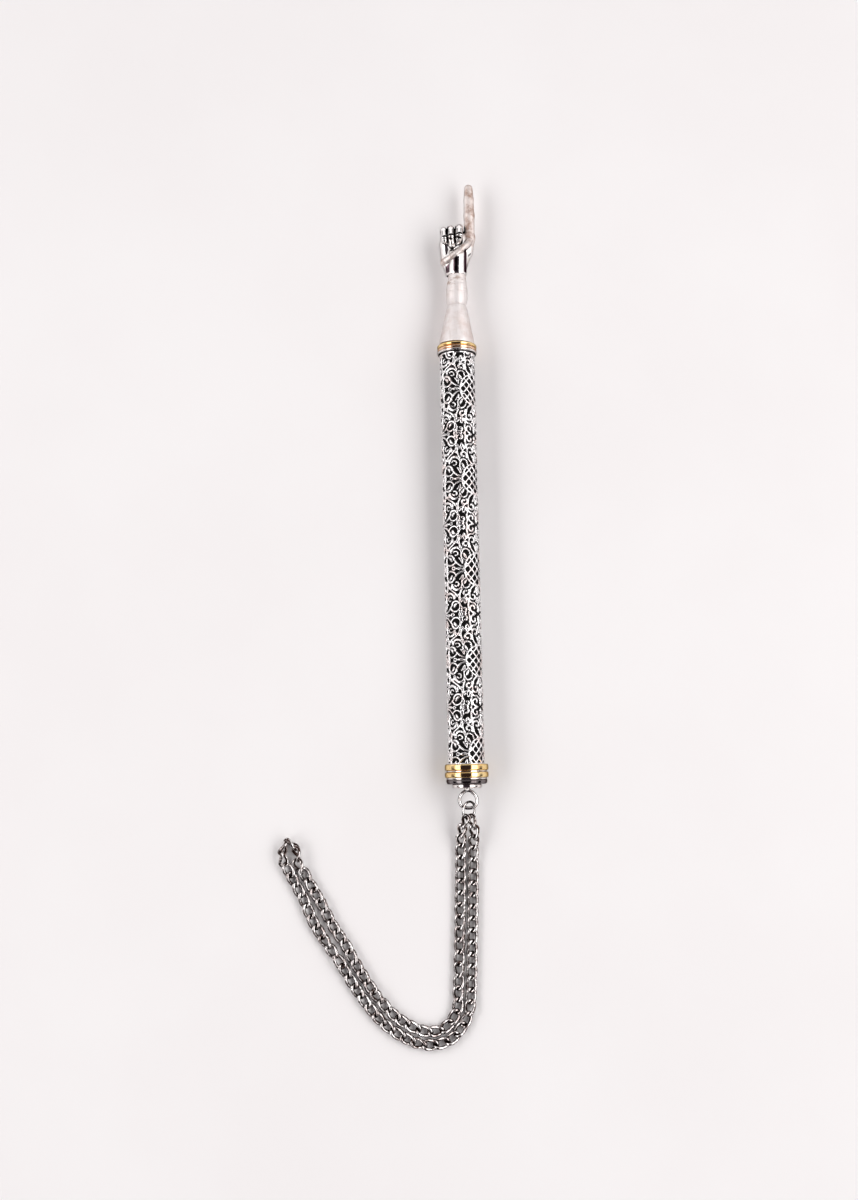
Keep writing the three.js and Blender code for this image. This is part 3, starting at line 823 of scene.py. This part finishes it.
def stroke_distance(across, along):
    """Distance to the nearest stroke of one column, negative inside it."""
    a = wrapped(across, GIRTH)
    b = wrapped(along, PERIOD)
    best = np.full(len(a), FAR_AWAY)
    near = a < STROKES_REACH
    points = np.stack([a[near], b[near]], -1).astype(np.float32)
    rows = stroke_rows.astype(np.float32)
    found = []
    for part in np.array_split(points, 48):
        gap = np.hypot(part[:, 0][:, None] - rows[:, 0], part[:, 1][:, None] - rows[:, 1]) - rows[:, 2]
        found.append(gap.min(1))
    best[near] = np.concatenate(found)
    radius = np.hypot(a, b)
    diagonals = []
    for value in (a + b, a - b):
        diagonals.append(np.abs((value / LATTICE + 0.5) % 1 - 0.5) * LATTICE / math.sqrt(2) - BAND_HALF)
    nodes = np.hypot(
        1.5 * (((a + b) / LATTICE + 0.5) % 1 - 0.5), 0.8 * (((a - b) / LATTICE + 0.5) % 1 - 0.5)
    ) * LATTICE / math.sqrt(2) - NODE_RADIUS
    lattice = np.minimum(np.minimum(*diagonals), nodes)
    lattice = np.maximum(lattice, radius - (MEDALLION_RADIUS - 0.2))
    return np.minimum(best, lattice)


ROWS, AROUND = ((720, 210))
along = np.linspace(sleeve_low[1], sleeve_high[1], ROWS)
across = np.linspace(0, GIRTH, AROUND, endpoint=False)
grid_along, grid_across = np.meshgrid(along, across, indexing="ij")


def ripple(a, b, seed):
    """A slow wander that keeps the repeats from being exact."""
    phases = np.random.default_rng(seed).uniform(0, 2 * math.pi, 6)
    angle = 2 * math.pi * a / GIRTH
    value = np.sin(2 * angle + b / 4.1 + phases[0]) + np.sin(3 * angle - b / 5.7 + phases[1])
    value += np.sin(b / 3.3 + phases[2]) + 0.7 * np.sin(5 * angle + b / 2.3 + phases[3])
    return value / 3.7


WANDER = 0.42  # how far the strokes stray from their repeat
SWELL = 0.05  # how much their width varies
FLANK = 0.22  # how wide the slope at a stroke's edge is
CROWN_HALF, CROWN_DROP = 0.45, 0.10  # strokes are rounded over this half width by this much
END_BAND, END_SLOPE = 0.45, 0.12  # plain raised bands finish the sleeve's ends
VEIN_FROM, VEIN_SLOPE, VEIN_DEPTH = 0.36, 0.08, 0.75  # fat strokes are split by broken grooves
warp_across = grid_across + WANDER * ripple(grid_across, grid_along, 1) - MEDALLION_ACROSS
warp_along = grid_along + WANDER * ripple(grid_across, grid_along, 2) - MEDALLION_ALONG
from_first = stroke_distance(warp_across.ravel(), warp_along.ravel())
from_second = stroke_distance((warp_across - COLUMN).ravel(), (warp_along - PERIOD / 2).ravel())
stroke = np.minimum(from_first, from_second).reshape(ROWS, AROUND)
swell = SWELL * ripple(3 * grid_across, 3 * grid_along, 3)
edge = limit(0.5 - (stroke + swell) / FLANK)
raised = edge * edge * (3 - 2 * edge)
crown = limit(-stroke / CROWN_HALF)
from_end = np.minimum(grid_along - sleeve_low[1], sleeve_high[1] - grid_along)
raised = np.maximum(raised, limit((END_BAND - from_end) / END_SLOPE))
broken = limit((ripple(5 * grid_across, 7 * grid_along, 4) + 0.4) / 0.3)
raised *= 1 - VEIN_DEPTH * limit((-stroke - VEIN_FROM) / VEIN_SLOPE) * broken
height = SLEEVE_RADIUS - RELIEF * (1 - raised) - CROWN_DROP * (1 - crown) * raised


def round_sleeve(radius, round_from_top, along):
    """Points on the sleeve, row by row, from lengths measured round it."""
    turn = round_from_top / SLEEVE_RADIUS
    x, y, z = AXIS_X + radius * np.sin(turn), np.zeros_like(turn) + along, AXIS_Z + radius * np.cos(turn)
    return np.stack([x, y, z], -1).reshape(-1, 3)


sleeve_points = np.vstack([
    round_sleeve(SLEEVE_BORE, across, sleeve_low[1]),
    round_sleeve(height, grid_across, grid_along),
    round_sleeve(SLEEVE_BORE, across, sleeve_high[1]),
])
sleeve_faces = grid_faces(ROWS + 2, AROUND, True, True)[:, ::-1]
sleeve = make_mesh("sleeve_relief", sleeve_points, sleeve_faces, sharp=75)
add_attribute(sleeve, "raised", np.concatenate([np.zeros(AROUND), raised.ravel(), np.zeros(AROUND)]))
stand_in(sleeve, "filigree_sleeve")


# ---- materials
class Nodes:
    """Short calls for adding nodes to a tree."""

    def __init__(self, tree):
        self.tree = tree

    def node(self, kind, inputs=None, **settings):
        made = self.tree.nodes.new(kind)
        for key, value in settings.items():
            setattr(made, key, value)
        for socket, value in (inputs or {}).items():
            if isinstance(value, bpy.types.NodeSocket):
                self.tree.links.new(value, made.inputs[socket])
            else:
                made.inputs[socket].default_value = value
        return made

    def spread(self, value, low, high, to_low=0.0, to_high=1.0):
        inputs = {"Value": value, "From Min": low, "From Max": high, "To Min": to_low, "To Max": to_high}
        return self.node("ShaderNodeMapRange", inputs, interpolation_type="SMOOTHSTEP").outputs["Result"]

    def math(self, operation, a, b=0.0):
        return self.node("ShaderNodeMath", {0: a, 1: b}, operation=operation).outputs["Value"]

    def part(self, value, share):
        return self.math("MULTIPLY", value, share)

    def mix(self, share, a, b):
        """Colour a where share is 0 and colour b where it is 1."""
        inputs = {"Factor": share}
        for socket, value in ((6, a), (7, b)):
            inputs[socket] = value if isinstance(value, bpy.types.NodeSocket) else (*value, 1.0)
        return self.node("ShaderNodeMix", inputs, data_type="RGBA").outputs[2]


class Shader(Nodes):
    """A new material's nodes, with its shader as main."""

    def __init__(self, name, **values):
        self.material = bpy.data.materials.new(name)
        self.material.use_nodes = True
        super().__init__(self.material.node_tree)
        self.main = self.tree.nodes["Principled BSDF"]
        for socket, value in values.items():
            self.main.inputs[socket.replace("_", " ")].default_value = value

    def place(self):
        return self.node("ShaderNodeTexCoord").outputs["Object"]

    def stretched(self, scale):
        return self.node("ShaderNodeMapping", {"Vector": self.place(), "Scale": scale}).outputs["Vector"]

    def noise(self, scale, detail=4.0, rough=0.55, vector=None):
        inputs = {"Vector": vector or self.place(), "Scale": scale, "Detail": detail, "Roughness": rough}
        return self.node("ShaderNodeTexNoise", inputs).outputs["Fac"]

    def uneven(self, scale, detail, low, high):
        """A value that wanders between low and high."""
        return self.spread(self.noise(scale, detail), 0.3, 0.75, low, high)

    def attribute(self, name):
        return self.node("ShaderNodeAttribute", attribute_name=name).outputs["Fac"]

    def bump(self, height, strength, distance, before=None):
        inputs = {"Height": height, "Strength": strength, "Distance": distance}
        if before is not None:
            inputs["Normal"] = before
        return self.node("ShaderNodeBump", inputs).outputs["Normal"]

    def use(self, socket, value):
        self.tree.links.new(value, self.main.inputs[socket])


EDGE_TINT = (0.22, 0.20, 0.20, 1.0)  # painted shade: silver seen at a slant is tinted grey before its rim, standing in for the shaded floor it reflects


TOOL_RINGS = (60, 9000, 60)  # noise scale: fine along the axis, coarse across


def turned_metal(name, bright, deep, tint, rough):
    """Polished turned metal: tool rings along the axis, clouds where it has tarnished and faint handling marks.
    """
    s = Shader(name, Metallic=1.0, Specular_Tint=EDGE_TINT)
    clouds = s.spread(s.noise(260.0, 5.0), 0.42, 0.7)
    flecks = s.spread(s.noise(1500.0, 3.0), 0.56, 0.72)
    colour = s.mix(clouds, bright, tint)
    s.use("Base Color", s.mix(s.part(flecks, 0.55), colour, deep))
    s.use("Roughness", s.uneven(500.0, 4.0, rough * 0.7, rough * 1.7))
    rings = s.noise(1.0, 2.0, 0.5, s.stretched(TOOL_RINGS))
    marks = s.noise(2600.0, 2.0)
    s.use("Normal", s.bump(marks, 0.08, 0.0001, s.bump(rings, 0.12, 0.00008)))
    return s.material


def cast_silver():
    """Cast silver, satin with polished high spots: pink and brown clouds where it has tarnished, painted shade
    in the creases and painted dark reflection bands on the heel.
    """
    # The near-black edge tint is painted shade along the hand's rims.
    s = Shader("cast_silver", Metallic=1.0, Specular_Tint=(0.06, 0.05, 0.05, 1.0))
    clouds = s.spread(s.noise(190.0, 6.0, 0.6), 0.5, 0.74)
    fine = s.spread(s.noise(900.0, 4.0, 0.65), 0.5, 0.8)
    colour = s.mix(clouds, (0.95, 0.925, 0.915), (0.86, 0.74, 0.69))
    colour = s.mix(s.part(fine, 0.35), colour, (0.55, 0.42, 0.36))
    index = s.attribute("index_side")
    colour = s.mix(s.part(index, 0.7), colour, (0.82, 0.72, 0.68))
    blotch = s.spread(s.noise(330.0, 6.0, 0.75), 0.42, 0.62)
    colour = s.mix(s.part(index, s.part(blotch, 0.9)), colour, (0.50, 0.345, 0.28))
    # Painted reflection: the heel's bands, with a little noise, turn the colour almost black.
    heel_reflection = s.math("ADD", s.attribute("heel_reflection"), s.spread(fine, 0.0, 1.0, -0.1, 0.15))
    colour = s.mix(s.spread(heel_reflection, 0.2, 0.7), colour, (0.085, 0.055, 0.065))
    # Painted shade: near black in the creases and cuts.
    dark = s.spread(s.attribute("crevice_shade"), 0.24, 0.52)
    s.use("Base Color", s.mix(dark, colour, (0.03, 0.024, 0.022)))
    rough = s.math("ADD", s.uneven(420.0, 5.0, 0.1, 0.2), s.part(index, 0.52))
    s.use("Roughness", rough)
    hammered = s.noise(330.0, 3.0, 0.5)
    pits = s.noise(2200.0, 3.0, 0.6)
    s.use("Normal", s.bump(pits, 0.10, 0.00012, s.bump(hammered, 0.16, 0.0006)))
    return s.material


def cuff_silver():
    """Smooth cast silver of the cuff, with soft clouds and faint lines down its length."""
    # The near-black edge tint is painted shade along the cuff's rims.
    s = Shader("cuff_silver", Metallic=1.0, Specular_Tint=(0.04, 0.03, 0.03, 1.0))
    clouds = s.spread(s.noise(150.0, 5.0, 0.6), 0.46, 0.72)
    colour = s.mix(clouds, (0.91, 0.865, 0.855), (0.84, 0.75, 0.72))
    arcs = s.spread(s.noise(1.0, 5.0, 0.7, s.stretched((230, 620, 230))), 0.5, 0.62)
    colour = s.mix(s.part(arcs, s.attribute("handled")), colour, (0.50, 0.37, 0.30))
    lines = s.spread(s.noise(1.0, 4.0, 0.6, s.stretched((900, 60, 900))), 0.5, 0.75)
    s.use("Base Color", s.mix(s.part(lines, 0.25), colour, (0.62, 0.54, 0.50)))
    s.use("Roughness", s.uneven(380.0, 4.0, 0.56, 0.72))
    s.use("Normal", s.bump(s.noise(420.0, 4.0, 0.55), 0.10, 0.0004))
    return s.material


def relief_silver():
    """The sleeve: bright rubbed silver on the raised scrolls, black in the cut-away ground."""
    s = Shader("relief_silver", Specular_IOR_Level=0.08)
    raised = s.attribute("raised")
    grit = s.noise(1900.0, 3.0, 0.6)
    level = s.math("ADD", raised, s.spread(grit, 0.3, 0.7, -0.16, 0.16))
    high = s.spread(level, 0.5, 0.74)
    tint = s.spread(s.noise(230.0, 3.0), 0.48, 0.68)
    bright = s.mix(tint, (0.93, 0.915, 0.92), (0.90, 0.80, 0.78))
    smut = s.spread(s.noise(1100.0, 3.0), 0.54, 0.74)
    bright = s.mix(s.part(smut, 0.7), bright, (0.10, 0.085, 0.085))
    s.use("Base Color", s.mix(high, (0.004, 0.0035, 0.0035), bright))
    s.use("Metallic", high)
    s.use("Roughness", s.spread(high, 0.0, 1.0, 0.55, 0.2))
    s.use("Normal", s.bump(grit, 0.22, 0.00015))
    return s.material


def chain_metal():
    """Dulled steel links: bright on their faces and outsides, brown-black painted shade on the walls inside
    each link, each a little different.
    """
    s = Shader("chain_metal", Metallic=1.0)
    light_and_shade = s.math("ADD", s.attribute("light_and_shade"), s.spread(s.noise(1300.0, 4.0, 0.6), 0.3, 0.7, -0.3, 0.25))
    bright = s.mix(s.attribute("link_shade"), (0.80, 0.75, 0.74), (0.98, 0.96, 0.95))
    clouds = s.spread(s.noise(420.0, 4.0), 0.42, 0.7)
    bright = s.mix(s.part(clouds, 0.6), bright, (0.30, 0.19, 0.165))
    # Painted shade: near black on the walls inside the links.
    s.use("Base Color", s.mix(s.spread(light_and_shade, 0.34, 0.8), (0.04, 0.021, 0.017), bright))
    s.use("Roughness", s.uneven(900.0, 3.0, 0.10, 0.24))
    s.use("Normal", s.bump(s.noise(3000.0, 3.0), 0.15, 0.00012))
    return s.material


def wire_silver():
    """Silver wire: bright along its top and underside, with near-black painted shade down its sides."""
    s = Shader("wire_silver", Metallic=1.0, Specular_Tint=EDGE_TINT)
    light_and_shade = s.math("ADD", s.attribute("light_and_shade"), s.spread(s.noise(1100.0, 4.0, 0.6), 0.3, 0.7, -0.18, 0.15))
    bright = s.mix(s.spread(s.noise(600.0, 4.0), 0.42, 0.7), (0.96, 0.94, 0.93), (0.80, 0.72, 0.69))
    # Painted shade: near black down the wire's sides.
    s.use("Base Color", s.mix(s.spread(light_and_shade, 0.5, 0.92), (0.04, 0.028, 0.026), bright))
    s.use("Roughness", s.uneven(900.0, 3.0, 0.12, 0.26))
    s.use("Normal", s.bump(s.noise(2600.0, 3.0), 0.10, 0.0001))
    return s.material


def paint(things, material):
    for thing in things:
        thing.data.materials.clear()
        thing.data.materials.append(material)


ring_silver = turned_metal("ring_silver", (0.93, 0.89, 0.87), (0.35, 0.28, 0.25), (0.85, 0.76, 0.72), 0.08)
gold = turned_metal("gold", (0.95, 0.72, 0.36), (0.36, 0.17, 0.06), (0.86, 0.55, 0.22), 0.06)
copper = turned_metal("copper", (0.90, 0.64, 0.46), (0.30, 0.13, 0.07), (0.80, 0.47, 0.28), 0.07)
# Near black: painted shadow on the collar's dark ring, and the colour of the hidden core tube.
black_silver = turned_metal(
    "black_silver", (0.05, 0.046, 0.046), (0.015, 0.013, 0.013), (0.10, 0.09, 0.09), 0.25
)
dark_polish = turned_metal("dark_polish", (0.22, 0.20, 0.20), (0.03, 0.025, 0.025), (0.11, 0.09, 0.09), 0.07)
steel = turned_metal("inner_steel", (0.56, 0.56, 0.58), (0.12, 0.11, 0.11), (0.44, 0.42, 0.42), 0.3)
paint([hand], cast_silver())
paint([cuff], cuff_silver())
paint([sleeve], relief_silver())
paint([chain], chain_metal())
paint([jump_ring, hanging_eye], wire_silver())
paint([*silver_rings, end_disc], ring_silver)
paint(gold_rings, gold)
paint(copper_rings, copper)
paint(dark_rings, dark_polish)
paint(shadow_rings, black_silver)
# The solids inside keep their CAD shapes.
for node in ("core_tube", "upper_plug", "lower_plug", "tie_rod", "rod_washer", "rod_nut", "hand_stud"):
    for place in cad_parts[node].material_slots:
        place.material = black_silver if node == "core_tube" else steel

# ---- floor and light
FLOOR_HALF = 12.0
floor = make_mesh(
    "floor",
    np.array([(-1, -1, 0), (1, -1, 0), (1, 1, 0), (-1, 1, 0)], float) * FLOOR_HALF / MM,
    np.array([[0, 1, 2, 3]]),
)
s = Shader("floor_paper", Roughness=0.85, Specular_IOR_Level=0.15, Emission_Color=(1.0, 0.975, 0.975, 1))
clouds = s.spread(s.noise(9.0, 3.0), 0.3, 0.7)
s.use("Base Color", s.mix(clouds, (0.885, 0.862, 0.862), (0.905, 0.888, 0.888)))
s.use("Normal", s.bump(s.noise(1400.0, 3.0), 0.05, 0.0002))
# The sweep stays pale out to the horizon, beyond the reach of the lights.
GLOW_NEAR, GLOW_FAR, GLOW = 0.7, 3.0, 0.5
reach = s.node("ShaderNodeVectorMath", {0: s.place()}, operation="LENGTH").outputs["Value"]
s.use("Emission Strength", s.spread(reach, GLOW_NEAR, GLOW_FAR, 0.0, GLOW))
paint([floor], s.material)

# A pale tent, open and dark overhead and on the near side, and dim near the ground: polished metal shows it.
# The open part is given by how far a direction leans across and along for each unit that it rises.
OPEN_ACROSS = (-0.78, 0.44)
OPEN_ALONG = 0.6
OPEN_SOFT = 0.06
GROUND_DIM = (0.44, 0.24)  # heights between which the tent dims toward the ground,
END_DIM = (0.45, 0.70)  # at both its ends
NEAR_DIM = (0.10, -0.06)  # and on its near side
LEVEL = 0.02  # directions flatter than this lean no further
TENT = (1.0, 0.975, 0.975)
OPENING = (0.028, 0.020, 0.026)
TENT_STRENGTH = 1.10
world = bpy.data.worlds.new("studio")
bpy.context.scene.world = world
world.use_nodes = True
sky = Nodes(world.node_tree)
backdrop = sky.tree.nodes["Background"]
parts = sky.node("ShaderNodeSeparateXYZ", {0: sky.node("ShaderNodeTexCoord").outputs["Generated"]}).outputs
rise = sky.math("MAXIMUM", parts["Z"], LEVEL)
lean_across = sky.math("DIVIDE", parts["X"], rise)
lean_along = sky.math("DIVIDE", parts["Y"], rise)
opening = sky.spread(lean_along, OPEN_ALONG + OPEN_SOFT, OPEN_ALONG - OPEN_SOFT)
for edge, soft in zip(OPEN_ACROSS, (OPEN_SOFT, -OPEN_SOFT)):
    opening = sky.part(opening, sky.spread(lean_across, edge - soft, edge + soft))
at_ends = sky.spread(sky.math("ABSOLUTE", parts["Y"]), *END_DIM)
near_side = sky.spread(parts["Y"], *NEAR_DIM)
ground = sky.part(sky.spread(parts["Z"], *GROUND_DIM), sky.math("MAXIMUM", at_ends, near_side))
reflected = sky.mix(sky.math("MAXIMUM", opening, ground), TENT, OPENING)
behind = sky.node("ShaderNodeLightPath").outputs["Is Camera Ray"]
sky.tree.links.new(sky.mix(behind, reflected, TENT), backdrop.inputs["Color"])
backdrop.inputs["Strength"].default_value = TENT_STRENGTH


LIGHT_TINT = (1.0, 0.99, 0.985)
LIGHT_AIM = Vector((0, -0.02, 0))


def soft_light(name, place, size, power):
    """A rectangular light over the pointer, sized along it and across it."""
    light = bpy.data.lights.new(name, "AREA")
    light.shape = "RECTANGLE"
    light.size, light.size_y = size
    light.energy = power
    light.color = LIGHT_TINT
    lamp = bpy.data.objects.new(name, light)
    lamp.location = place
    lamp.rotation_euler = (LIGHT_AIM - Vector(place)).to_track_quat("-Z", "Y").to_euler()
    bpy.context.collection.objects.link(lamp)


soft_light("key_left", (-0.80, -0.05, 0.72), (1.3, 0.50), 4.3)
soft_light("key_right", (0.66, -0.05, 0.76), (1.3, 0.54), 4.8)
bpy.context.scene.view_settings.view_transform = "Standard"
